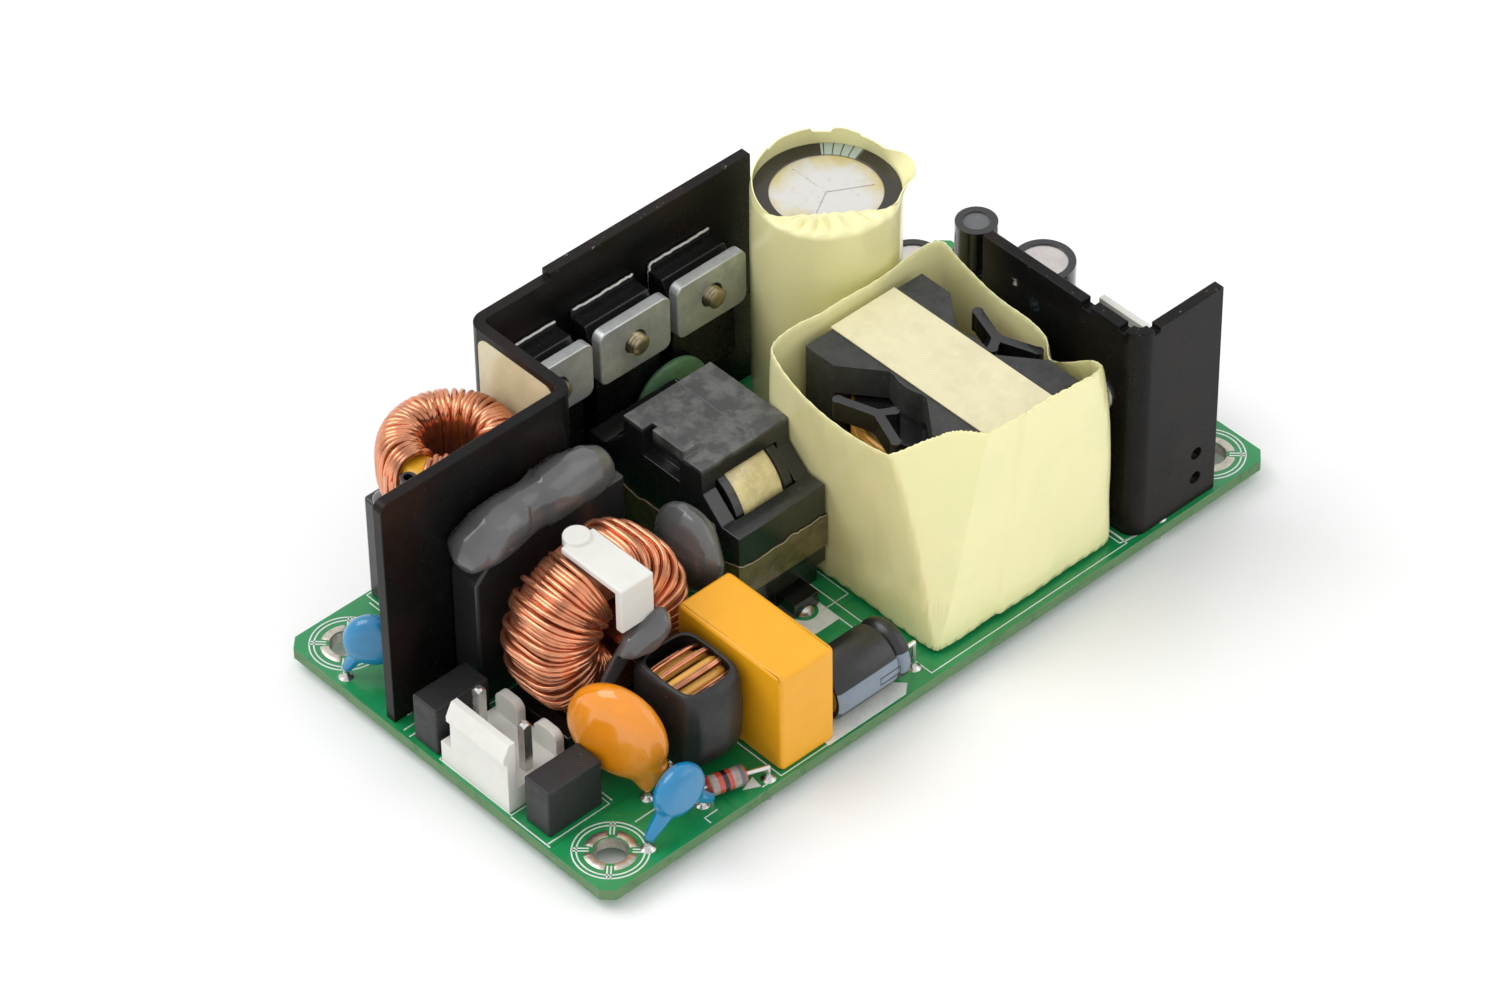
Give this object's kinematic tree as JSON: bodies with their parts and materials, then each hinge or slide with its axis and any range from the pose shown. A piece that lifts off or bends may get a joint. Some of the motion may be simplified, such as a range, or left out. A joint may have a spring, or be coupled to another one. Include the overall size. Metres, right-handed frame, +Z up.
{
  "type": "open frame power supply",
  "caption": "Compact open frame mains power supply: green board with folded black heat sinks, wound chokes, wrapped transformer, film and electrolytic capacitors, white headers.",
  "frame": {"origin": "centre of the four-hole pattern, on the board's underside", "axes": "+X along the board's long edge from the mains input end to the output end, +Z up out of the component side, +Y from the front long edge to the rear one"},
  "size_m": [0.108, 0.0573, 0.0414],
  "materials": {
    "solder_mask": "gloss",
    "tinned_copper": "satin",
    "chip_epoxy": "matte",
    "black_anodised": "satin",
    "cream_tape": "satin",
    "transistor_epoxy": "satin",
    "insulator_pad": "matte",
    "clamp_steel": "satin",
    "brass_screw": "satin",
    "zinc_screw": "satin",
    "capacitor_can": "satin",
    "black_sleeve": "satin",
    "grey_sleeve": "satin",
    "yellow_film": "gloss",
    "ferrite": "matte",
    "bobbin_plastic": "gloss",
    "choke_case": "gloss",
    "coil_tape": "gloss",
    "amber_tape": "gloss",
    "copper_wire": "gloss",
    "amber_wire": "gloss",
    "white_nylon": "satin",
    "grey_box": "satin",
    "orange_box": "gloss",
    "orange_lacquer": "gloss",
    "blue_lacquer": "gloss",
    "arrester_glass": "gloss",
    "thermistor_lacquer": "satin",
    "core_yellow": "satin",
    "grey_sealant": "gloss"
  },
  "bodies": {
    "root": {"circuit_board": "solder_mask", "mounting_rings": "tinned_copper", "solder_joints": "tinned_copper", "underside_chips": "chip_epoxy", "primary_heatsink": "black_anodised", "heatsink_tape": "cream_tape", "power_transistors": "transistor_epoxy", "transistor_insulators": "insulator_pad", "clamp_blocks": "clamp_steel", "clamp_screws": "brass_screw", "secondary_heatsink": "black_anodised", "output_rectifiers": "transistor_epoxy", "rectifier_screws": "zinc_screw", "bulk_capacitor": "capacitor_can", "bulk_capacitor_sleeve": "black_sleeve", "bulk_capacitor_film": "yellow_film", "transformer_core": "ferrite", "transformer_bobbin": "bobbin_plastic", "transformer_winding": "coil_tape", "transformer_core_tape": "cream_tape", "transformer_film": "yellow_film", "boost_choke_shroud": "choke_case", "boost_choke_bobbin": "bobbin_plastic", "boost_choke_winding": "coil_tape", "boost_choke_tape": "amber_tape", "filter_choke_core": "ferrite", "filter_winding_left": "copper_wire", "filter_winding_right": "copper_wire", "filter_divider": "white_nylon", "filter_base": "bobbin_plastic", "rear_toroid_core": "core_yellow", "rear_toroid_winding": "copper_wire", "rear_toroid_lead_sleeve": "black_sleeve", "rear_film_capacitor": "grey_box", "front_film_capacitor": "grey_box", "orange_film_capacitor": "orange_box", "sleeved_toroid_core": "ferrite", "sleeved_toroid_winding": "amber_wire", "toroid_shrink_sleeve": "black_sleeve", "varistor": "orange_lacquer", "y_capacitor_front": "blue_lacquer", "y_capacitor_rear": "blue_lacquer", "surge_arrester": "arrester_glass", "lying_capacitor": "black_sleeve", "inrush_thermistor": "thermistor_lacquer", "input_fuses": "chip_epoxy", "input_header": "white_nylon", "input_header_pins": "tinned_copper", "output_header": "white_nylon", "output_header_pins": "tinned_copper", "output_capacitors": "capacitor_can", "output_capacitor_sleeves": "black_sleeve", "drum_inductor": "ferrite", "drum_inductor_sleeve": "black_sleeve", "sealant_beads": "grey_sealant", "component_leads": "tinned_copper"}
  },
  "joints": []
}
